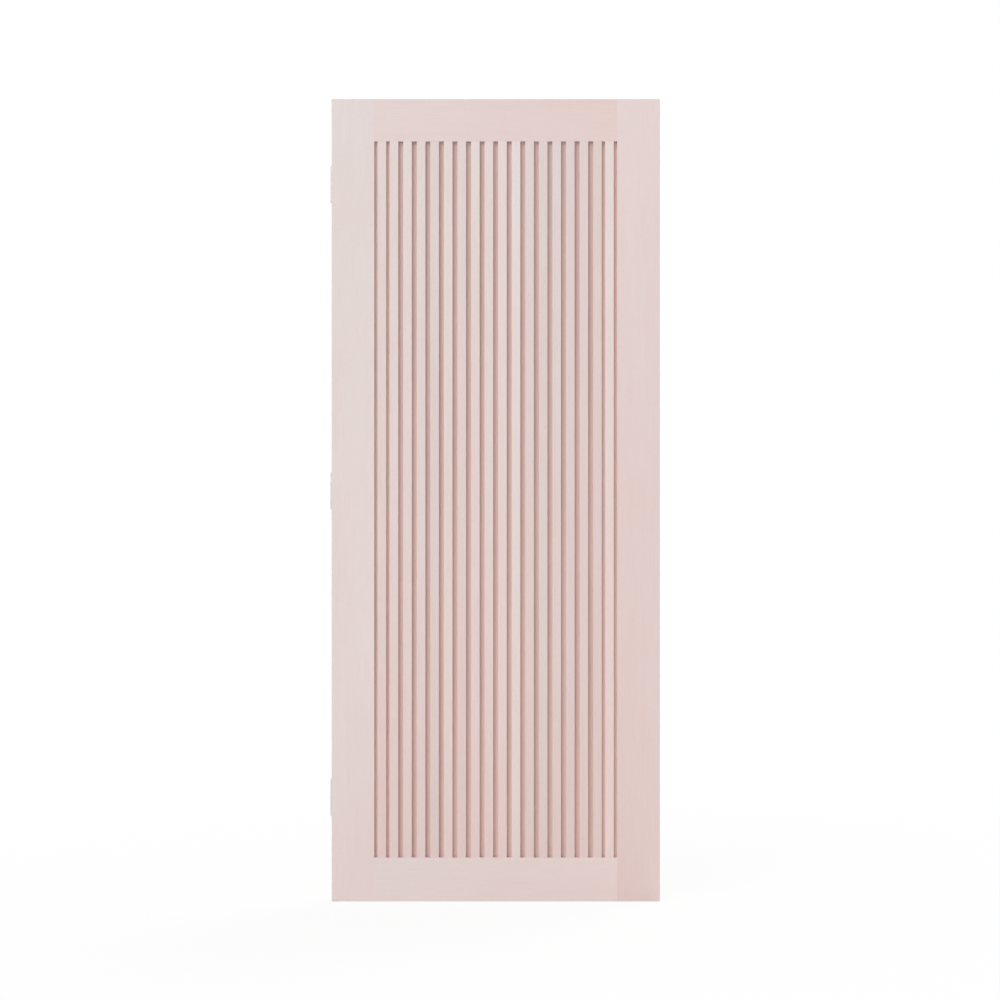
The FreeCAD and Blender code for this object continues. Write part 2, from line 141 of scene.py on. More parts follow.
# How much lighter, or below 0 darker, each upright board is at its two ends. The darker bottom ends of the
# right stile and the slats are painted shade for the light's fall towards the lower right.
STILE_SHADES = {"left_stile": (0.012, -0.018), "right_stile": (-0.05, 0.01)}
SLAT_SHADES = (-0.02, -0.014)
# On the gap strips the two ends are painted light and shade of the gaps: the narrow edge strips are painted
# lighter, most at the bottom, and the inner strips are painted light at the bottom and painted shade that
# deepens towards the top
EDGE_STRIP_PAINTED_LIGHT = (0.18, 0.11)
INNER_STRIP_PAINTED_SHADE = (0.01, -0.085)
SLAT_SHADE_SPREAD = 0.04

# Where each board lies in the grain; slats and strips draw their own place
STILE_GRAIN_SHIFT = Vector((0.31, 0.0, 0.4))
RAIL_GRAIN_SHIFT = Vector((0.9, 0.0, 0.53))
GRAIN_SPREAD_ACROSS = 1.0
GRAIN_SPREAD_ALONG = 5.0
SLAT_SEED = 11
STRIP_SEED = 12

# Noise patterns of the wood and the steel
CLOUDS = {"stretch": 0.35, "scale": 7.0, "detail": 2.0}
BANDS = {"stretch": 0.025, "scale": 70.0, "detail": 3.0}
FIBRES = {"stretch": 0.012, "scale": 900.0, "detail": 2.0}
DASHES = {"stretch": 0.07, "scale": 1300.0, "detail": 1.0}
BRUSHING = {"stretch": 0.03, "scale": 2600.0, "detail": 2.0}
SMUDGES = {"stretch": 1.0, "scale": 60.0, "detail": 3.0}
NOISE_MIDDLE = 0.5

# Where a pattern sets in and where it is full
FIBRE_RANGE = (0.40, 0.68)
FLECK_RANGE = (0.64, 0.74)
SMUDGE_RANGE = (0.35, 0.7)
ROUGHNESS_RANGE = (0.3, 0.7)
END_GRAIN_RANGE = (0.6, 0.9)

# Surface of the wood and the steel
WOOD_ROUGHNESS = (0.56, 0.72)
WOOD_SPECULAR = 0.3
WOOD_RELIEF = {"Strength": 0.2, "Distance": 0.0003}
FLECK_DEPTH = 0.5
STEEL_ROUGHNESS = (0.30, 0.46)
STEEL_RELIEF = {"Strength": 0.12, "Distance": 0.0001}
DULL_STEEL = 0.86

# Stage, in metres, with the camera's sensor in millimetres
KEY_DIRECTION = (-0.45, -0.76, 0.47)
BACK_DIRECTION = (0.50, 0.68, 0.54)
LIGHT_DISTANCE = 6.0
FLOOR_SIZE = 60.0
FLOOR_DROP = 0.001
SENSOR_WIDTH = 36.0
WHITE = (1.0, 1.0, 1.0)


def length(label, description, millimetres):
    """A length property whose default is given in millimetres."""
    return FloatProperty(name=label, description=description, default=millimetres / MM_PER_M,
                         min=0.0, precision=4, unit="LENGTH")


def colour(label, description, default):
    """A colour property in linear light."""
    return FloatVectorProperty(name=label, description=description, default=default,
                               size=3, min=0.0, max=1.0, subtype="COLOR")


def share(label, description, default):
    """A property between none and all."""
    return FloatProperty(name=label, description=description, default=default,
                         min=0.0, max=1.0, subtype="FACTOR")


class SlattedDoorSizes(bpy.types.PropertyGroup):
    """Sizes of the door's edges, joints and hinges"""
    outer_arris: length("Outer arris", "Rounding of the leaf's outside edges", 1.5)
    joint_arris: length("Joint arris", "Rounding along the stiles' and rails' inner edges", 0.3)
    slat_arris: length("Slat arris", "Rounding of the slats' long edges", 0.8)
    strip_arris: length("Strip arris", "Rounding of the gap strips' long edges", 0.5)
    groove_depth: length("Groove depth", "Depth of the stiles' and rails' grooves", 14)
    groove_width: length("Groove width", "Width of all the grooves", 14.3)
    slat_groove_depth: length("Slat groove depth", "Depth of the grooves in the slats' edges", 6)
    tongue_thickness: length("Tongue thickness", "Thickness of the tenons on rails and slats", 14)
    rail_tenon: length("Rail tenon", "Length of the rails' stub tenons", 13.5)
    slat_tenon: length("Slat tenon", "Length of the slats' stub tenons", 12)
    dowel_clearance: length("Dowel clearance", "Room round a dowel in its hole", 0.05)
    dowel_end_clearance: length("Dowel end clearance", "Room past a dowel's ends in its hole", 1.5)
    plate_gap: length("Plate gap", "Gap between the plates of a shut hinge", 1.2)
    plate_thickness: length("Plate thickness", "Thickness of the hinge plates", 2.5)
    plate_clearance: length("Plate clearance", "Room round a plate in its seat", 0.1)
    hinge_reach: length("Hinge reach", "From the pin's axis to a plate's far edge", 24.5)
    barrel_room: length("Barrel room", "From the pin's axis to a plate's near edge", 6)
    neck_bite: length("Neck bite", "How far a plate's necks reach into the knuckles", 1.5)
    knuckle_radius: length("Knuckle radius", "Outside radius of the knuckles", 5.5)
    knuckle_clearance: length("Knuckle clearance", "Gap between two knuckles", 0.3)
    pin_radius: length("Pin radius", "Radius of the hinge pins", 3)
    pin_clearance: length("Pin clearance", "Room round a pin in its knuckles", 0.05)
    pin_head_radius: length("Pin head radius", "Radius of the pins' button heads", 4.75)
    pin_head_height: length("Pin head height", "Height of the pins' button heads", 1.8)
    steel_edge: length("Steel edge", "Rounding of the hinges' edges", 0.25)
    screw_radius: length("Screw radius", "Radius of the screws' shanks", 2)
    screw_head_radius: length("Screw head radius", "Radius of the countersunk heads", 4)
    screw_length: length("Screw length", "Length of the screws, heads included", 32)
    screw_point: length("Screw point", "Length of the screws' tapered points", 6)
    screw_clearance: length("Screw clearance", "Room round a screw in its hole", 0.1)
    screw_end_clearance: length("Screw end clearance", "Room past a screw's point", 1.5)
    recess_width: length("Recess width", "Width of a screw's cross recess", 1.1)
    recess_length: length("Recess length", "Length of a screw's cross recess", 4.4)
    recess_depth: length("Recess depth", "Depth of a screw's cross recess", 1.2)
    outer_hole_reach: length("Outer hole reach", "From the pin's axis to the far screws", 18.8)
    inner_hole_reach: length("Inner hole reach", "From the pin's axis to the near screws", 12)
    wide_hole_spacing: length("Wide hole spacing", "Between the two screws of a wide row", 76)
    narrow_hole_spacing: length("Narrow hole spacing", "Between the two screws of a narrow row", 28)


class SlattedDoorFinish(bpy.types.PropertyGroup):
    """Colours and grain of the door's wood and steel"""
    pale_wood: colour("Pale wood", "Wood at its palest", (0.757, 0.692, 0.676))
    rosy_wood: colour("Rosy wood", "Wood at its pinkest", (0.748, 0.592, 0.566))
    # The gap strips' wood is redder, and darker in green and blue, than the slats': partly the strips' own
    # wood and partly painted shade and rosy bounce light of the deep gaps
    strip_wood: colour("Strip wood", "Wood of the gap strips", (0.80, 0.585, 0.545))
    fibre: colour("Fibre", "Fine dark fibres of the wood", (0.60, 0.45, 0.40))
    fleck: colour("Fleck", "Small flecks in the wood", (0.46, 0.31, 0.26))
    end_grain: colour("End grain", "Wood at the boards' ends", (0.60, 0.46, 0.40))
    dowel: colour("Dowel", "Wood of the dowels", SLOT_COLOURS["dowel_wood"])
    steel: colour("Steel", "Satin steel of the hinges", SLOT_COLOURS["hinge_steel"])
    screw_steel: colour("Screw steel", "Steel of the screws", SLOT_COLOURS["screw_steel"])
    band_contrast: share("Band contrast", "How much the growth bands change the wood's tone", 0.30)
    cloud_contrast: share("Cloud contrast", "How much the tone drifts within a board", 0.60)
    fibre_contrast: share("Fibre contrast", "How dark the fine fibres are", 0.16)
    fleck_contrast: share("Fleck contrast", "How dark the flecks are", 0.30)
    end_contrast: share("End contrast", "How much darker the boards' ends are", 0.55)


class SlattedDoorStage(bpy.types.PropertyGroup):
    """Camera and light of the studio"""
    camera_distance: length("Camera distance", "From the camera to the leaf's front face", 7000)
    camera_side: length("Camera side", "How far the camera stands to the right of the leaf's middle", 11.8)
    camera_height: length("Camera height", "Height of the camera above the floor", 1100.5)
    focal_length: FloatProperty(name="Focal length", description="Lens of the camera, in millimetres",
                                default=91.9, min=1.0, unit="CAMERA")
    key: FloatProperty(name="Key", description="Strength of the soft light from the upper left",
                       default=1.54, min=0.0)
    key_softness: FloatProperty(name="Key softness", description="Angle that the soft lights span",
                                default=math.radians(46), min=0.0, max=math.pi, subtype="ANGLE")
    back: FloatProperty(name="Back", description="Strength of the soft light from behind",
                        default=1.5, min=0.0)
    fill: FloatProperty(name="Fill", description="Strength of the light from all around",
                        default=0.46, min=0.0)
    fill_colour: colour("Fill colour", "Colour of the light from all around", WHITE)
    floor_colour: colour("Floor colour", "Colour of the floor", (0.95, 0.95, 0.95))
    floor_white: share("Floor white", "How much of the floor's shadows by the leaf is lost in white", 0.90)
    shadow_start: length("Shadow start", "From the leaf's middle to where its shadow starts to fade", 500)
    shadow_end: length("Shadow end", "From the leaf's middle to where the floor is plain white", 2600)


# Modelling steps

def deselect_everything():
    bpy.ops.object.select_all(action="DESELECT")


def select_only(piece):
    deselect_everything()
    piece.select_set(True)
    bpy.context.view_layer.objects.active = piece


def open_piece(piece):
    """Edit one piece, with nothing on it selected."""
    select_only(piece)
    bpy.ops.object.mode_set(mode="EDIT")
    bpy.ops.mesh.select_all(action="DESELECT")


def close_piece():
    bpy.ops.object.mode_set(mode="OBJECT")


def name_primitive(name, scale=(1, 1, 1)):
    """Put the place and size of the primitive just added into its mesh, and open it under its name."""
    piece = bpy.context.object
    piece.scale = scale
    bpy.ops.object.transform_apply(location=True, rotation=True, scale=True)
    piece.name = name
    piece.data.name = name
    open_piece(piece)
    return piece


def add_block(name, low, high):
    """A block between two corners, open for shaping."""
    deselect_everything()
    bpy.ops.mesh.primitive_cube_add(size=1, location=(low + high) / 2)
    return name_primitive(name, high - low)


def add_rod(name, start, end, radius, sides):
    """A round rod between two points along X or Z, open for shaping."""
    deselect_everything()
    along = end - start
    turn = (0, QUARTER_TURN, 0) if abs(along.x) > abs(along.z) else (0, 0, 0)
    bpy.ops.mesh.primitive_cylinder_add(vertices=sides, radius=radius, depth=along.length,
                                        location=(start + end) / 2, rotation=turn)
    return name_primitive(name)


def add_section(name, low, high, length_axis):
    """A plane across the low end of a board, open for its grooves."""
    deselect_everything()
    size = high - low
    centre = (low + high) / 2
    centre[length_axis] = low[length_axis]
    if length_axis == X_AXIS:
        turn, scale = (0, QUARTER_TURN, 0), (size.z, size.y, 1)
    else:
        turn, scale = (0, 0, 0), (size.x, size.y, 1)
    bpy.ops.mesh.primitive_plane_add(size=1, location=centre, rotation=turn)
    return name_primitive(name, scale)


def pick(piece, kind, wanted):
    """Select the faces or edges of the open piece that pass a test."""
    bpy.ops.mesh.select_mode(type=kind)
    bpy.ops.mesh.select_all(action="DESELECT")
    shape = bmesh.from_edit_mesh(piece.data)
    shape.normal_update()
    chosen = [part for part in (shape.faces if kind == "FACE" else shape.edges) if wanted(part)]
    if not chosen:
        raise RuntimeError(f"Nothing to pick on {piece.name}")
    for part in chosen:
        part.select_set(True)
    bmesh.update_edit_mesh(piece.data)


def planes_holding(edge, planes):
    """How many of the planes, each an axis and a place on it, hold the whole edge."""
    return sum(all(abs(corner.co[axis] - place) < TOUCH for corner in edge.verts) for axis, place in planes)


def runs_along(edge, axis):
    first, second = (corner.co for corner in edge.verts)
    return abs(second[axis] - first[axis]) > (second - first).length - TOUCH


def faces_way(face, axis, way):
    return face.normal[axis] * way > FACING_SHARE


def split(axis, place):
    """Cut the selected faces with a plane across an axis."""
    normal = Vector((0, 0, 0))
    normal[axis] = 1
    bpy.ops.mesh.bisect(plane_co=normal * place, plane_no=normal)


def split_all(axis, place):
    bpy.ops.mesh.select_all(action="SELECT")
    split(axis, place)


def cut_groove(piece, across, mouth, bottom, half_width):
    """Take a groove out of an open section; it runs in from its mouth along one axis, centred on y = 0."""
    split_all(across, bottom)
    split_all(Y_AXIS, -half_width)
    split_all(Y_AXIS, half_width)
    near, far = sorted((mouth, bottom))

    def in_groove(face):
        middle = face.calc_center_median()
        return near < middle[across] < far and abs(middle.y) < half_width

    pick(piece, "FACE", in_groove)
    bpy.ops.mesh.delete(type="FACE")


def extrude_section(travel):
    """Draw an open section out into a solid, without leftover edges on its flat faces."""
    bpy.ops.mesh.select_all(action="SELECT")
    bpy.ops.mesh.extrude_region_move(TRANSFORM_OT_translate={"value": travel})
    bpy.ops.mesh.select_all(action="SELECT")
    bpy.ops.mesh.normals_make_consistent(inside=False)
    bpy.ops.mesh.dissolve_limited(angle_limit=FLAT_ANGLE)


def extrude_faces(piece, wanted, travel):
    pick(piece, "FACE", wanted)
    bpy.ops.mesh.extrude_region_move(TRANSFORM_OT_translate={"value": travel})


def add_tenon(piece, axis, way, half_thickness, tenon_length):
    """Draw the middle of a board's end out into a stub tenon."""
    end = max(corner.co[axis] * way for corner in bmesh.from_edit_mesh(piece.data).verts) * way

    def on_end(face):
        return faces_way(face, axis, way) and abs(face.calc_center_median()[axis] - end) < TOUCH

    for place in (-half_thickness, half_thickness):
        pick(piece, "FACE", on_end)
        split(Y_AXIS, place)
    travel = Vector((0, 0, 0))
    travel[axis] = way * tenon_length
    extrude_faces(piece, lambda face: on_end(face) and abs(face.calc_center_median().y) < TOUCH, travel)


def round_edges(piece, radius, steps, wanted):
    pick(piece, "EDGE", wanted)
    bpy.ops.mesh.bevel(offset=radius, segments=steps, affect="EDGES")


def round_corners(piece, radius, steps, planes):
    """Round the edges where two of the planes meet, each an axis and a place on it."""
    round_edges(piece, radius, steps, lambda edge: planes_holding(edge, planes) > 1)


def use_tool(piece, tool, operation):
    """Join a tool piece to another, or cut it away, and remove the tool."""
    select_only(piece)
    bpy.ops.object.modifier_add(type="BOOLEAN")
    change = piece.modifiers[-1]
    change.operation = operation
    change.solver = "EXACT"
    change.object = tool
    bpy.ops.object.modifier_apply(modifier=change.name)
    deselect_everything()
    tool.select_set(True)
    bpy.ops.object.delete()


def join_pieces(pieces):
    """Make several pieces one, under the first one's name."""
    deselect_everything()
    for piece in pieces:
        piece.select_set(True)
    bpy.context.view_layer.objects.active = pieces[0]
    bpy.ops.object.join()
    return pieces[0]


def copy_piece(piece, name, travel):
    """A copy with its own mesh, moved to its own place."""
    select_only(piece)
    bpy.ops.object.duplicate(linked=False)
    twin = bpy.context.object
    twin.name = name
    twin.data.name = name
    twin.location = travel
    bpy.ops.object.transform_apply(location=True, rotation=False, scale=False)
    return twin


def copy_to_nodes(first, nodes, finish_name):
    """The piece of the first node, and copies of it at the other nodes' places."""
    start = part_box(nodes[0])[0]
    copies = [copy_piece(first, f"{node}_{finish_name}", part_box(node)[0] - start) for node in nodes[1:]]
    return [first] + copies


def smooth_piece(piece):
    """Smooth the rounded edges while the flat faces stay flat."""
    select_only(piece)
    bpy.ops.object.shade_smooth_by_angle(angle=SMOOTH_ANGLE)
    bpy.ops.object.modifier_add(type="WEIGHTED_NORMAL")
    piece.modifiers[-1].keep_sharp = True
    bpy.ops.object.modifier_apply(modifier=piece.modifiers[-1].name)


def place_in_door(piece, node, material):
    """Let a finished piece stand for its node in the frame."""
    piece.data.materials.clear()
    piece.data.materials.append(material)
    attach(piece, frame["nodes"][node]["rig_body"])
    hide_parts(node)


def mark_board(piece, axis, tones, shift, shades=(0.0, 0.0)):
    """Give a board its tone and shade at its two ends and its own place in the grain."""
    mesh = piece.data
    places = [corner.co[axis] for corner in mesh.vertices]
    low, high = min(places), max(places)
    shares = [(place - low) / (high - low) for place in places]
    for name, (start, end) in (("tone", tones), ("shade", shades)):
        values = mesh.attributes.new(name, "FLOAT", "POINT")
        values.data.foreach_set("value", [start + (end - start) * part for part in shares])
    grain = mesh.attributes.new("grain_shift", "FLOAT_VECTOR", "POINT")
    grain.data.foreach_set("vector", list(shift) * len(places))


def draw_grain_shift(draw):
    """A board's own place in the grain, drawn across it twice and along it once."""
    spreads = (GRAIN_SPREAD_ACROSS, GRAIN_SPREAD_ACROSS, GRAIN_SPREAD_ALONG)
    return [draw.uniform(-spread, spread) for spread in spreads]


# Finishes

def new_material(name):
    """A new material, its node tree and its shader."""
    material = bpy.data.materials.new(name)
    material.use_nodes = True
    return material, material.node_tree, material.node_tree.nodes["Principled BSDF"]


def add_node(tree, kind, settings=(), **inputs):
    """A node with its settings, and its inputs set to values or linked to other nodes' outputs."""
    node = tree.nodes.new(kind)
    for setting, value in dict(settings).items():
        setattr(node, setting, value)
    for label, value in inputs.items():
        connect(tree, node.inputs[label.replace("_", " ")], value)
    return node


def connect(tree, socket, value):
    if isinstance(value, bpy.types.NodeSocket):
        tree.links.new(value, socket)
    else:
        socket.default_value = value


def calculate(tree, operation, *values):
    """A Math node's result."""
    node = tree.nodes.new("ShaderNodeMath")
    node.operation = operation
    for socket, value in zip(node.inputs, values):
        connect(tree, socket, value)
    return node.outputs[0]


def mix_colours(tree, factor, first, second):
    node = tree.nodes.new("ShaderNodeMix")
    node.data_type = "RGBA"
    sockets = [socket for socket in node.inputs if socket.enabled]
    for socket, value in zip(sockets, (factor, first, second)):
        connect(tree, socket, value)
    return next(socket for socket in node.outputs if socket.enabled)


def stretched_noise(tree, place, axis, stretch, scale, detail):
    """Noise drawn out along one axis."""
    scales = [1.0, 1.0, 1.0]
    scales[axis] = stretch
    mapping = add_node(tree, "ShaderNodeMapping", Vector=place, Scale=scales)
    noise = add_node(tree, "ShaderNodeTexNoise", Vector=mapping.outputs[0], Scale=scale, Detail=detail)
    return noise.outputs["Fac"]


def map_range(tree, value, low, high, to_low=0.0, to_high=1.0):
    node = add_node(tree, "ShaderNodeMapRange", Value=value, From_Min=low, From_Max=high,
                    To_Min=to_low, To_Max=to_high)
    return node.outputs[0]


def opaque(colour_value):
    return (*colour_value, 1.0)


def paint_over(tree, below, pattern, contrast, paint):
    """Another colour laid over one, as strongly as a pattern and its contrast say."""
    return mix_colours(tree, calculate(tree, "MULTIPLY", pattern, contrast), below, opaque(paint))


def wood_colour(tree, finish, pale, rosy, patterns):
    """The wood between its pale and rosy tone, with its fibres, flecks and end grain."""
    rosiness = patterns["tone"]
    for drifting, contrast in (("clouds", finish.cloud_contrast), ("bands", finish.band_contrast)):
        drift = calculate(tree, "SUBTRACT", patterns[drifting], NOISE_MIDDLE)
        rosiness = calculate(tree, "ADD", rosiness, calculate(tree, "MULTIPLY", drift, contrast))
    clean = mix_colours(tree, rosiness, opaque(pale), opaque(rosy))
    lined = paint_over(tree, clean, patterns["fibre_lines"], finish.fibre_contrast, finish.fibre)
    flecked = paint_over(tree, lined, patterns["flecks"], finish.fleck_contrast, finish.fleck)
    ended = paint_over(tree, flecked, patterns["facing_end"], finish.end_contrast, finish.end_grain)
    # Brightness from each board's shade mark: the wood's own random spread on the slats, and painted light
    # and shade on the gap strips and at the darker bottom ends of the right stile and slats
    brightness = calculate(tree, "ADD", patterns["shade"], 1.0)
    return add_node(tree, "ShaderNodeVectorMath", {"operation": "SCALE"}, Vector=ended,
                    Scale=brightness).outputs[0]


def wood_material(name, finish, axis, pale, rosy):
    """Planed, unfinished wood whose grain runs along one axis, with the marks that a board carries."""
    material, tree, shader = new_material(name)
    coordinates = tree.nodes.new("ShaderNodeTexCoord").outputs
    marks = {mark: add_node(tree, "ShaderNodeAttribute", {"attribute_name": mark}).outputs
             for mark in ("grain_shift", "tone", "shade")}
    shifted = add_node(tree, "ShaderNodeVectorMath", {"operation": "ADD"})
    tree.links.new(coordinates["Object"], shifted.inputs[0])
    tree.links.new(marks["grain_shift"]["Vector"], shifted.inputs[1])
    place = shifted.outputs[0]

    fibres = stretched_noise(tree, place, axis, **FIBRES)
    flecks = map_range(tree, stretched_noise(tree, place, axis, **DASHES), *FLECK_RANGE)
    normal = add_node(tree, "ShaderNodeSeparateXYZ", Vector=coordinates["Normal"]).outputs[axis]
    patterns = {
        "tone": marks["tone"]["Fac"],
        "shade": marks["shade"]["Fac"],
        "clouds": stretched_noise(tree, place, axis, **CLOUDS),
        "bands": stretched_noise(tree, place, axis, **BANDS),
        "fibre_lines": map_range(tree, fibres, *FIBRE_RANGE),
        "flecks": flecks,
        "facing_end": map_range(tree, calculate(tree, "ABSOLUTE", normal), *END_GRAIN_RANGE),
    }
    tree.links.new(wood_colour(tree, finish, pale, rosy, patterns), shader.inputs["Base Color"])
    roughness = map_range(tree, fibres, *ROUGHNESS_RANGE, *WOOD_ROUGHNESS)
    tree.links.new(roughness, shader.inputs["Roughness"])
    shader.inputs["Specular IOR Level"].default_value = WOOD_SPECULAR

    relief = calculate(tree, "SUBTRACT", fibres, calculate(tree, "MULTIPLY", flecks, FLECK_DEPTH))
    bump = add_node(tree, "ShaderNodeBump", Height=relief, **WOOD_RELIEF)
    tree.links.new(bump.outputs["Normal"], shader.inputs["Normal"])
    return material


def steel_material(name, steel, axis):
    """Satin steel brushed along one axis."""
    material, tree, shader = new_material(name)
    place = tree.nodes.new("ShaderNodeTexCoord").outputs["Object"]
    brushing = stretched_noise(tree, place, axis, **BRUSHING)
    smudges = map_range(tree, stretched_noise(tree, place, axis, **SMUDGES), *SMUDGE_RANGE)
    dull = [DULL_STEEL * part for part in steel]
    tree.links.new(mix_colours(tree, smudges, opaque(steel), opaque(dull)), shader.inputs["Base Color"])
    shader.inputs["Metallic"].default_value = 1.0
    roughness = map_range(tree, brushing, *ROUGHNESS_RANGE, *STEEL_ROUGHNESS)
    tree.links.new(roughness, shader.inputs["Roughness"])
    bump = add_node(tree, "ShaderNodeBump", Height=brushing, **STEEL_RELIEF)
    tree.links.new(bump.outputs["Normal"], shader.inputs["Normal"])
    return material


def shared_material(name, make, *details):
    """The material of that name, made once."""
    return bpy.data.materials.get(name) or make(name, *details)


def board_wood(name, finish, axis):
    return shared_material(name, wood_material, finish, axis, finish.pale_wood, finish.rosy_wood)


def hinge_steel(finish):
    return shared_material("satin hinge steel", steel_material, finish.steel, Z_AXIS)


# Boards

def cut_dowel_holes(piece, node, sizes):
    """The holes in a stile or rail for the dowels of one corner."""
    low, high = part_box(node)
    radius = (high.y - low.y) / 2
    heights = (low.z + radius, (low.z + high.z) / 2, high.z - radius)
    drills = []
    for height in heights:
        start = Vector((low.x - sizes.dowel_end_clearance, 0, height))
        end = Vector((high.x + sizes.dowel_end_clearance, 0, height))
        drills.append(add_rod("dowel_drill", start, end, radius + sizes.dowel_clearance, HOLE_SIDES))
        close_piece()
    use_tool(piece, join_pieces(drills), "DIFFERENCE")


def screw_places(sizes, hinge_low, outer_spacing, inner_spacing, hinge_height):
    """The places on a hinge plate of its four screws, as y and z."""
    middle = hinge_low + hinge_height / 2
    rows = ((sizes.outer_hole_reach, outer_spacing), (sizes.inner_hole_reach, inner_spacing))
    return [(PIN_AXIS.y - reach, middle + way * spacing / 2)
            for reach, spacing in rows for way in (DOWN, UP)]


def door_screw_places(sizes, hinge):
    low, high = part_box(f"{hinge}_hinge_door_leaf")
    return screw_places(sizes, low.z, sizes.wide_hole_spacing, sizes.narrow_hole_spacing, high.z - low.z)


def cut_hinge_seats(stile, outer, back, sizes):
    """The seats that the hinge plates are let into, and the screw holes behind them."""
    for hinge in HINGES:
        low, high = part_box(f"{hinge}_hinge_door_leaf")
        room = sizes.plate_clearance
        front = PIN_AXIS.y - sizes.hinge_reach - room
        seat_low = Vector((outer - sizes.plate_thickness, front, low.z - room))
        seat_high = Vector((outer + sizes.plate_thickness, back + sizes.plate_thickness, high.z + room))
        seat = add_block("seat_cutter", seat_low, seat_high)
        close_piece()
        use_tool(stile, seat, "DIFFERENCE")
        drills = []
        for y, z in door_screw_places(sizes, hinge):
            start = Vector((outer, y, z))
            end = start + Vector((sizes.screw_length + sizes.screw_end_clearance, 0, 0))
            drills.append(add_rod("screw_drill", start, end, sizes.screw_radius + sizes.screw_clearance,
                                  HOLE_SIDES))
            close_piece()
        use_tool(stile, join_pieces(drills), "DIFFERENCE")


class SLATTED_DOOR_OT_stiles(bpy.types.Operator):
    """Model the two stiles with their grooves, dowel holes and hinge seats"""
    bl_idname = "slatted_door.stiles"
    bl_label = "Make Stiles"
    bl_options = {"REGISTER", "UNDO"}

    def execute(self, context):
        sizes = context.scene.slatted_door_sizes
        finish = context.scene.slatted_door_finish
        for node, side in (("left_stile", LEFT), ("right_stile", RIGHT)):
            low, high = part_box(node)
            inner, outer = (high.x, low.x) if side == LEFT else (low.x, high.x)
            stile = add_section(f"{node}_planed", low, high, Z_AXIS)
            cut_groove(stile, X_AXIS, inner, inner + side * sizes.groove_depth, sizes.groove_width / 2)
            extrude_section(Vector((0, 0, high.z - low.z)))
            faces = ((Y_AXIS, low.y), (Y_AXIS, high.y))
            ends = ((Z_AXIS, low.z), (Z_AXIS, high.z))
            round_corners(stile, sizes.outer_arris, ARRIS_STEPS, ((X_AXIS, outer),) + faces + ends)
            round_corners(stile, sizes.joint_arris, EDGE_STEPS, ((X_AXIS, inner),) + faces)
            close_piece()
            side_name = "left" if side == LEFT else "right"
            for end in ("bottom", "top"):
                cut_dowel_holes(stile, f"{end}_{side_name}_dowels", sizes)
            if side == LEFT:
                cut_hinge_seats(stile, outer, high.y, sizes)
            smooth_piece(stile)
            mark_board(stile, Z_AXIS, STILE_TONES[node], STILE_GRAIN_SHIFT * side, STILE_SHADES[node])
            place_in_door(stile, node, board_wood("upright frame wood", finish, Z_AXIS))
        return {"FINISHED"}


class SLATTED_DOOR_OT_rails(bpy.types.Operator):
    """Model the two rails with their grooves, stub tenons and dowel holes"""
    bl_idname = "slatted_door.rails"
    bl_label = "Make Rails"
    bl_options = {"REGISTER", "UNDO"}

    def execute(self, context):
        sizes = context.scene.slatted_door_sizes
        finish = context.scene.slatted_door_finish
        for node, inward in (("bottom_rail", UP), ("top_rail", DOWN)):
            low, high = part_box(node)
            tenon = Vector((sizes.rail_tenon, 0, 0))
            low, high = low + tenon, high - tenon
            outer, inner = (low.z, high.z) if inward == UP else (high.z, low.z)
            rail = add_section(f"{node}_planed", low, high, X_AXIS)
            cut_groove(rail, Z_AXIS, inner, inner - inward * sizes.groove_depth, sizes.groove_width / 2)
            extrude_section(Vector((high.x - low.x, 0, 0)))
            for way in (LEFT, RIGHT):
                add_tenon(rail, X_AXIS, way, sizes.tongue_thickness / 2, sizes.rail_tenon)
            faces = ((Y_AXIS, low.y), (Y_AXIS, high.y))
            round_corners(rail, sizes.outer_arris, ARRIS_STEPS, ((Z_AXIS, outer),) + faces)
            round_corners(rail, sizes.joint_arris, EDGE_STEPS, ((Z_AXIS, inner),) + faces)
            close_piece()
            end = "bottom" if inward == UP else "top"
            for side_name in ("left", "right"):
                cut_dowel_holes(rail, f"{end}_{side_name}_dowels", sizes)
            smooth_piece(rail)
            mark_board(rail, X_AXIS, RAIL_TONES[node], RAIL_GRAIN_SHIFT * inward)
            place_in_door(rail, node, board_wood("cross frame wood", finish, X_AXIS))
        return {"FINISHED"}


class SLATTED_DOOR_OT_slats(bpy.types.Operator):
    """Model one slat with its grooves and tenons, and copy it to every slat's place"""
    bl_idname = "slatted_door.slats"
    bl_label = "Make Slats"
    bl_options = {"REGISTER", "UNDO"}

    def execute(self, context):
        sizes = context.scene.slatted_door_sizes
        finish = context.scene.slatted_door_finish
        low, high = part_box(SLATS[0])
        tenon = Vector((0, 0, sizes.slat_tenon))
        low, high = low + tenon, high - tenon
        first = add_section(f"{SLATS[0]}_planed", low, high, Z_AXIS)
        for mouth, way in ((low.x, RIGHT), (high.x, LEFT)):
            cut_groove(first, X_AXIS, mouth, mouth + way * sizes.slat_groove_depth, sizes.groove_width / 2)
        extrude_section(Vector((0, 0, high.z - low.z)))
        for way in (DOWN, UP):
            add_tenon(first, Z_AXIS, way, sizes.tongue_thickness / 2, sizes.slat_tenon)
        corners = ((X_AXIS, low.x), (X_AXIS, high.x), (Y_AXIS, low.y), (Y_AXIS, high.y))
        round_edges(first, sizes.slat_arris, ARRIS_STEPS,
                    lambda edge: runs_along(edge, Z_AXIS) and planes_holding(edge, corners) > 1)
        close_piece()
        smooth_piece(first)

        draw = random.Random(SLAT_SEED)
        wood = board_wood("slat wood", finish, Z_AXIS)
        for node, slat in zip(SLATS, copy_to_nodes(first, SLATS, "planed")):
            drift = draw.uniform(-SLAT_TONE_SPREAD, SLAT_TONE_SPREAD)
            shift = draw_grain_shift(draw)
            brightness = draw.uniform(-SLAT_SHADE_SPREAD, SLAT_SHADE_SPREAD)
            mark_board(slat, Z_AXIS, [tone + drift for tone in SLAT_TONES], shift,
                       [shade + brightness for shade in SLAT_SHADES])
            place_in_door(slat, node, wood)
        return {"FINISHED"}


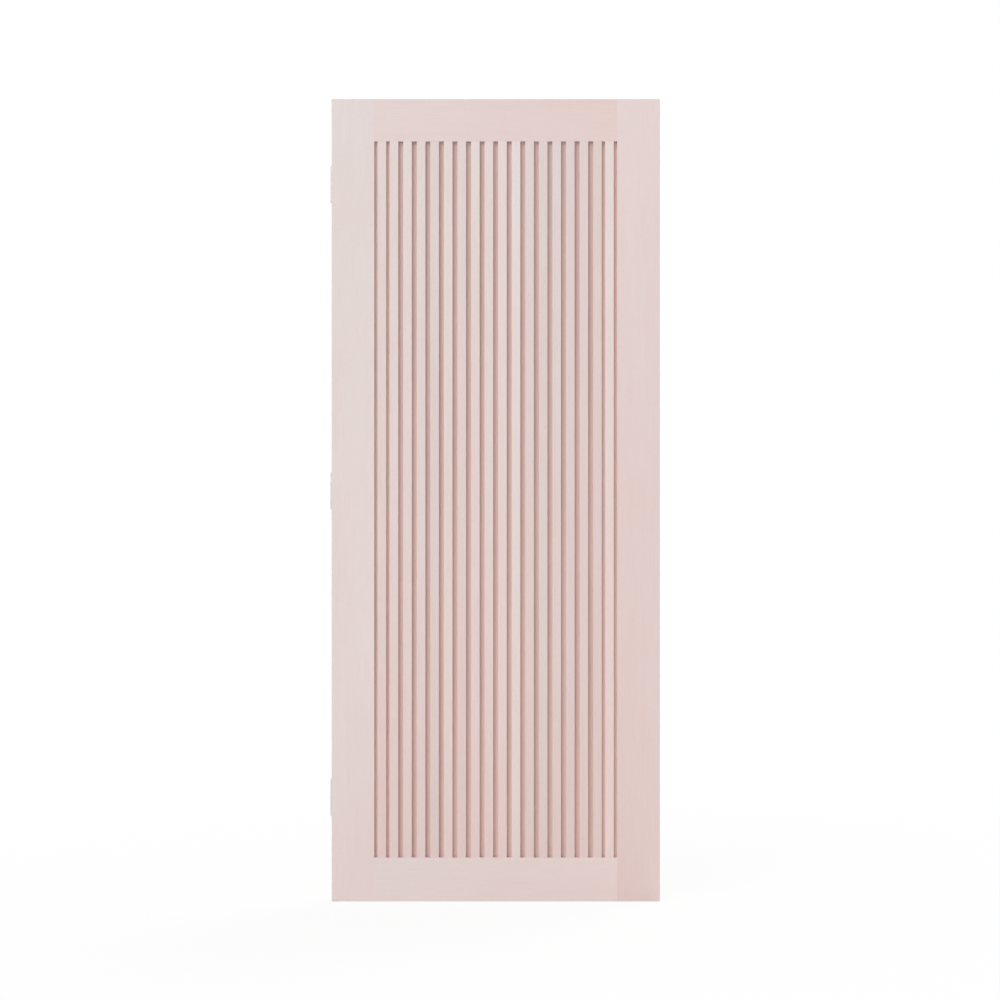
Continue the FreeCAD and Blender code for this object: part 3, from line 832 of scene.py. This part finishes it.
class SLATTED_DOOR_OT_gap_strips(bpy.types.Operator):
    """Model the strips that close the gaps, one of each width, and copy them along the leaf"""
    bl_idname = "slatted_door.gap_strips"
    bl_label = "Make Gap Strips"
    bl_options = {"REGISTER", "UNDO"}

    def execute(self, context):
        sizes = context.scene.slatted_door_sizes
        finish = context.scene.slatted_door_finish
        made = {}
        strips = []
        for node in STRIPS:
            low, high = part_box(node)
            width = round(high.x - low.x, WIDTH_DIGITS)
            if width in made:
                model, place = made[width]
                strips.append(copy_piece(model, f"{node}_planed", Vector((low.x - place, 0, 0))))
                continue
            strip = add_block(f"{node}_planed", low, high)
            round_edges(strip, sizes.strip_arris, EDGE_STEPS, lambda edge: runs_along(edge, Z_AXIS))
            close_piece()
            smooth_piece(strip)
            made[width] = (strip, low.x)
            strips.append(strip)
        draw = random.Random(STRIP_SEED)
        # The strips' colour is partly painted shade of the gaps
        wood = wood_material("strip wood and painted gap shade", finish, Z_AXIS, finish.strip_wood, finish.fibre)
        for node, strip in zip(STRIPS, strips):
            # Each strip's painted light and shade: lighter on the narrow edge strips, darker towards the
            # top on the inner ones
            shades = EDGE_STRIP_PAINTED_LIGHT if node in EDGE_STRIPS else INNER_STRIP_PAINTED_SHADE
            mark_board(strip, Z_AXIS, STRIP_TONES, draw_grain_shift(draw), shades)
            place_in_door(strip, node, wood)
        return {"FINISHED"}


class SLATTED_DOOR_OT_dowels(bpy.types.Operator):
    """Give the dowels their wood"""
    bl_idname = "slatted_door.dowels"
    bl_label = "Finish Dowels"
    bl_options = {"REGISTER", "UNDO"}

    def execute(self, context):
        finish = context.scene.slatted_door_finish
        wood = wood_material("dowel wood", finish, X_AXIS, finish.dowel, finish.fibre)
        for node in DOWELS:
            dowels = frame["nodes"][node]
            dowels.data.materials.clear()
            dowels.data.materials.append(wood)
        return {"FINISHED"}


# Hinges

def knuckle_ends(sizes, low, high, index):
    """The lower and upper end of one knuckle of a barrel."""
    pitch = (high - low) / KNUCKLE_COUNT
    return (low + index * pitch + sizes.knuckle_clearance / 2,
            low + (index + 1) * pitch - sizes.knuckle_clearance / 2)


def model_hinge_leaf(name, node, side, knuckles, spacings, sizes):
    """A plate with its necks, knuckles and countersunk holes, on one side of the pin's axis."""
    low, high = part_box(node)
    inner = PIN_AXIS.x + side * sizes.plate_gap / 2
    outer = inner + side * sizes.plate_thickness
    near_edge = PIN_AXIS.y - sizes.barrel_room
    leaf = add_block(name, Vector((min(inner, outer), PIN_AXIS.y - sizes.hinge_reach, low.z)),
                     Vector((max(inner, outer), near_edge, high.z)))
    round_edges(leaf, sizes.steel_edge, EDGE_STEPS,
                lambda edge: not planes_holding(edge, ((Y_AXIS, near_edge),)))
    neck = Vector((0, sizes.barrel_room - sizes.knuckle_radius + sizes.neck_bite, 0))
    spans = [knuckle_ends(sizes, low.z, high.z, index) for index in knuckles]
    for bottom, top in spans:
        split_all(Z_AXIS, bottom)
        split_all(Z_AXIS, top)
    for bottom, top in spans:
        extrude_faces(leaf, lambda face: (faces_way(face, Y_AXIS, BACK)
                                          and abs(face.calc_center_median().y - near_edge) < TOUCH
                                          and bottom < face.calc_center_median().z < top), neck)
    bpy.ops.mesh.select_all(action="SELECT")
    bpy.ops.mesh.dissolve_limited(angle_limit=FLAT_ANGLE)
    close_piece()

    axis_foot = Vector((PIN_AXIS.x, PIN_AXIS.y, 0))
    for bottom, top in spans:
        ends = ((Z_AXIS, bottom), (Z_AXIS, top))
        knuckle = add_rod("knuckle", axis_foot + Vector((0, 0, bottom)), axis_foot + Vector((0, 0, top)),
                          sizes.knuckle_radius, BARREL_SIDES)
        round_edges(knuckle, sizes.steel_edge, EDGE_STEPS, lambda edge: planes_holding(edge, ends))
        close_piece()
        use_tool(leaf, knuckle, "UNION")
    overrun = Vector((0, 0, sizes.plate_thickness))
    bore = add_rod("pin_bore", axis_foot + Vector((0, 0, low.z)) - overrun,
                   axis_foot + Vector((0, 0, high.z)) + overrun,
                   sizes.pin_radius + sizes.pin_clearance, BARREL_SIDES)
    close_piece()
    use_tool(leaf, bore, "DIFFERENCE")
    for y, z in screw_places(sizes, low.z, *spacings, high.z - low.z):
        drill = model_screw("screw_drill", Vector((inner, y, z)), side, sizes, sizes.screw_clearance)
        use_tool(leaf, drill, "DIFFERENCE")

    open_piece(leaf)
    bpy.ops.mesh.select_all(action="SELECT")
    bpy.ops.mesh.remove_doubles(threshold=TOUCH)
    close_piece()
    bpy.ops.object.shade_smooth_by_angle(angle=STEEL_SMOOTH_ANGLE)
    return leaf


def scale_picked(factor, centre):
    """Scale what is selected across X about a point on its axis."""
    bpy.ops.transform.resize(value=(1, factor, factor), center_override=centre)


def model_screw(name, head, way, sizes, clearance=0.0):
    """A countersunk screw along X from the middle of its head; with a clearance, the drill for it."""
    shank = sizes.screw_radius + clearance
    flare = sizes.screw_head_radius + clearance
    head_height = sizes.screw_head_radius - sizes.screw_radius
    forward = Vector((way, 0, 0))
    neck = head + forward * head_height
    tip = head + forward * sizes.screw_length
    shoulder = tip - forward * sizes.screw_point
    screw = add_rod(name, neck, shoulder, shank, HOLE_SIDES)
    extrude_faces(screw, lambda face: faces_way(face, X_AXIS, -way), -forward * head_height)
    scale_picked(flare / shank, head)
    if clearance:
        bpy.ops.mesh.extrude_region_move(TRANSFORM_OT_translate={"value": -forward * head_height})
    extrude_faces(screw, lambda face: faces_way(face, X_AXIS, way), forward * sizes.screw_point)
    scale_picked(SCREW_TIP, tip)
    close_piece()
    return screw


def cut_cross_recess(screw, head, way, sizes):
    """The tapered cross that a driver fits, in two arms."""
    half_length, half_width = sizes.recess_length / 2, sizes.recess_width / 2
    floor = head.x + way * sizes.recess_depth
    mouth = head.x - way * sizes.recess_depth
    for half_y, half_z in ((half_length, half_width), (half_width, half_length)):
        corner = Vector((0, half_y, half_z))
        arm = add_block("recess_cutter", Vector((min(mouth, floor), head.y, head.z)) - corner,
                        Vector((max(mouth, floor), head.y, head.z)) + corner)
        pick(arm, "FACE", lambda face: faces_way(face, X_AXIS, way))
        scale_picked(RECESS_FLOOR, Vector((floor, head.y, head.z)))
        close_piece()
        use_tool(screw, arm, "DIFFERENCE")


class SLATTED_DOOR_OT_hinge_leaves(bpy.types.Operator):
    """Model one leaf for the door and one for its frame, and copy them to the other hinges"""
    bl_idname = "slatted_door.hinge_leaves"
    bl_label = "Make Hinge Leaves"
    bl_options = {"REGISTER", "UNDO"}

    def execute(self, context):
        sizes = context.scene.slatted_door_sizes
        finish = context.scene.slatted_door_finish
        wide, narrow = sizes.wide_hole_spacing, sizes.narrow_hole_spacing
        kinds = (("door_leaf", RIGHT, DOOR_KNUCKLES, (wide, narrow)),
                 ("frame_leaf", LEFT, FRAME_KNUCKLES, (narrow, wide)))
        for kind, side, knuckles, spacings in kinds:
            nodes = [f"{hinge}_hinge_{kind}" for hinge in HINGES]
            first = model_hinge_leaf(f"{nodes[0]}_brushed", nodes[0], side, knuckles, spacings, sizes)
            for node, leaf in zip(nodes, copy_to_nodes(first, nodes, "brushed")):
                place_in_door(leaf, node, hinge_steel(finish))
        return {"FINISHED"}


class SLATTED_DOOR_OT_hinge_pins(bpy.types.Operator):
    """Model one pin with its button head and copy it to the other hinges"""
    bl_idname = "slatted_door.hinge_pins"
    bl_label = "Make Hinge Pins"
    bl_options = {"REGISTER", "UNDO"}

    def execute(self, context):
        sizes = context.scene.slatted_door_sizes
        finish = context.scene.slatted_door_finish
        nodes = [f"{hinge}_hinge_pin" for hinge in HINGES]
        low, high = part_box(nodes[0])
        foot = Vector((PIN_AXIS.x, PIN_AXIS.y, low.z))
        seat = Vector((PIN_AXIS.x, PIN_AXIS.y, high.z - sizes.pin_head_height))
        first = add_rod(f"{nodes[0]}_brushed", foot, seat, sizes.pin_radius, BARREL_SIDES)
        extrude_faces(first, lambda face: faces_way(face, Z_AXIS, UP), Vector((0, 0, 0)))
        flare = sizes.pin_head_radius / sizes.pin_radius
        bpy.ops.transform.resize(value=(flare, flare, 1), center_override=seat)
        bpy.ops.mesh.extrude_region_move(
            TRANSFORM_OT_translate={"value": Vector((0, 0, sizes.pin_head_height))})
        round_edges(first, sizes.pin_head_height * PIN_HEAD_DOME, ARRIS_STEPS,
                    lambda edge: planes_holding(edge, ((Z_AXIS, high.z),)))
        round_edges(first, sizes.pin_radius * PIN_FOOT_ROUNDING, EDGE_STEPS,
                    lambda edge: planes_holding(edge, ((Z_AXIS, low.z),)))
        close_piece()
        smooth_piece(first)
        for node, pin in zip(nodes, copy_to_nodes(first, nodes, "brushed")):
            place_in_door(pin, node, hinge_steel(finish))
        return {"FINISHED"}


class SLATTED_DOOR_OT_hinge_screws(bpy.types.Operator):
    """Model one screw with its cross recess and copy it to every hole of the door's hinge leaves"""
    bl_idname = "slatted_door.hinge_screws"
    bl_label = "Make Hinge Screws"
    bl_options = {"REGISTER", "UNDO"}

    def execute(self, context):
        sizes = context.scene.slatted_door_sizes
        finish = context.scene.slatted_door_finish
        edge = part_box("hinge_screws")[0].x
        heads = [Vector((edge, y, z)) for hinge in HINGES for y, z in door_screw_places(sizes, hinge)]
        first = model_screw("hinge_screws_brushed", heads[0], RIGHT, sizes)
        cut_cross_recess(first, heads[0], RIGHT, sizes)
        smooth_piece(first)
        copies = [copy_piece(first, "screw", head - heads[0]) for head in heads[1:]]
        screws = join_pieces([first] + copies)
        steel = steel_material("satin screw steel", finish.screw_steel, Y_AXIS)
        place_in_door(screws, "hinge_screws", steel)
        return {"FINISHED"}


# Stage

def seen_directly(tree):
    """1 for rays from the camera, off gloss or through glass, and 0 for light that falls on things."""
    path = tree.nodes.new("ShaderNodeLightPath").outputs
    first = calculate(tree, "MAXIMUM", path["Is Camera Ray"], path["Is Glossy Ray"])
    return calculate(tree, "MAXIMUM", first, path["Is Transmission Ray"])


def show_mixed(tree, factor, first, second, output_kind):
    """Let a tree show one shader or another, as a factor says."""
    mixed = tree.nodes.new("ShaderNodeMixShader")
    for socket, source in zip(mixed.inputs, (factor, first.outputs[0], second.outputs[0])):
        tree.links.new(source, socket)
    output = tree.nodes.new(output_kind)
    tree.links.new(mixed.outputs[0], output.inputs["Surface"])


def floor_material(stage):
    """A pale floor that keeps a faint shadow by the leaf and runs out into white."""
    material = bpy.data.materials.new("studio floor")
    material.use_nodes = True
    tree = material.node_tree
    tree.nodes.clear()
    pale = add_node(tree, "ShaderNodeBsdfDiffuse", Color=opaque(stage.floor_colour))
    white = add_node(tree, "ShaderNodeEmission", Color=opaque(WHITE), Strength=1.0)
    place = tree.nodes.new("ShaderNodeTexCoord").outputs["Object"]
    reach = add_node(tree, "ShaderNodeVectorMath", {"operation": "LENGTH"}, Vector=place)
    whiteness = map_range(tree, reach.outputs["Value"], stage.shadow_start, stage.shadow_end,
                          stage.floor_white, 1.0)
    shown_white = calculate(tree, "MULTIPLY", seen_directly(tree), whiteness)
    show_mixed(tree, shown_white, pale, white, "ShaderNodeOutputMaterial")
    return material


def light_room(stage):
    """Light from all around, behind a background that shows white."""
    world = bpy.data.worlds.new("studio")
    bpy.context.scene.world = world
    world.use_nodes = True
    tree = world.node_tree
    tree.nodes.clear()
    fill = add_node(tree, "ShaderNodeBackground", Color=opaque(stage.fill_colour), Strength=stage.fill)
    white = add_node(tree, "ShaderNodeBackground", Color=opaque(WHITE), Strength=1.0)
    show_mixed(tree, seen_directly(tree), fill, white, "ShaderNodeOutputWorld")


def add_soft_light(name, direction, strength, softness):
    """A far, wide light from one direction."""
    deselect_everything()
    turn = Vector(direction).to_track_quat("Z", "Y").to_euler()
    bpy.ops.object.light_add(type="SUN", location=Vector(direction) * LIGHT_DISTANCE, rotation=turn)
    light = bpy.context.object
    light.name = name
    light.data.angle = softness
    light.data.energy = strength


class SLATTED_DOOR_OT_stage(bpy.types.Operator):
    """Set up the floor, the soft light and the camera"""
    bl_idname = "slatted_door.stage"
    bl_label = "Set Up Stage"
    bl_options = {"REGISTER", "UNDO"}

    def execute(self, context):
        stage = context.scene.slatted_door_stage
        context.scene.view_settings.view_transform = "Standard"
        deselect_everything()
        bpy.ops.mesh.primitive_plane_add(size=FLOOR_SIZE, location=(0, 0, cad_low.z - FLOOR_DROP))
        floor = bpy.context.object
        floor.name = "studio_floor"
        floor.data.materials.append(floor_material(stage))
        light_room(stage)

        add_soft_light("key_light", KEY_DIRECTION, stage.key, stage.key_softness)
        add_soft_light("back_light", BACK_DIRECTION, stage.back, stage.key_softness)

        deselect_everything()
        place = (stage.camera_side, cad_low.y - stage.camera_distance, stage.camera_height)
        bpy.ops.object.camera_add(location=place, rotation=(QUARTER_TURN, 0, 0))
        camera = bpy.context.object
        camera.data.lens = stage.focal_length
        camera.data.sensor_width = SENSOR_WIDTH
        context.scene.camera = camera
        return {"FINISHED"}


class SLATTED_DOOR_PT_panel(bpy.types.Panel):
    """Sizes, finishes and steps of the slatted door"""
    bl_label = "Slatted Door"
    bl_idname = "SLATTED_DOOR_PT_panel"
    bl_space_type = "VIEW_3D"
    bl_region_type = "UI"
    bl_category = "Slatted Door"

    def draw(self, context):
        for operator in OPERATORS:
            self.layout.operator(operator.bl_idname)
        scene = context.scene
        for group in (scene.slatted_door_sizes, scene.slatted_door_finish, scene.slatted_door_stage):
            column = self.layout.box().column()
            for name in group.__annotations__:
                column.prop(group, name)


GROUPS = (SlattedDoorSizes, SlattedDoorFinish, SlattedDoorStage)
OPERATORS = (
    SLATTED_DOOR_OT_stiles,
    SLATTED_DOOR_OT_rails,
    SLATTED_DOOR_OT_slats,
    SLATTED_DOOR_OT_gap_strips,
    SLATTED_DOOR_OT_dowels,
    SLATTED_DOOR_OT_hinge_leaves,
    SLATTED_DOOR_OT_hinge_pins,
    SLATTED_DOOR_OT_hinge_screws,
    SLATTED_DOOR_OT_stage,
)
CLASSES = GROUPS + OPERATORS + (SLATTED_DOOR_PT_panel,)


def register():
    for item in CLASSES:
        bpy.utils.register_class(item)
    bpy.types.Scene.slatted_door_sizes = PointerProperty(type=SlattedDoorSizes)
    bpy.types.Scene.slatted_door_finish = PointerProperty(type=SlattedDoorFinish)
    bpy.types.Scene.slatted_door_stage = PointerProperty(type=SlattedDoorStage)


def unregister():
    del bpy.types.Scene.slatted_door_stage
    del bpy.types.Scene.slatted_door_finish
    del bpy.types.Scene.slatted_door_sizes
    for item in reversed(CLASSES):
        bpy.utils.unregister_class(item)


def main():
    register()
    bpy.ops.slatted_door.stiles()
    bpy.ops.slatted_door.rails()
    bpy.ops.slatted_door.slats()
    bpy.ops.slatted_door.gap_strips()
    bpy.ops.slatted_door.dowels()
    bpy.ops.slatted_door.hinge_leaves()
    bpy.ops.slatted_door.hinge_pins()
    bpy.ops.slatted_door.hinge_screws()
    bpy.ops.slatted_door.stage()


if __name__ == "__main__":
    main()
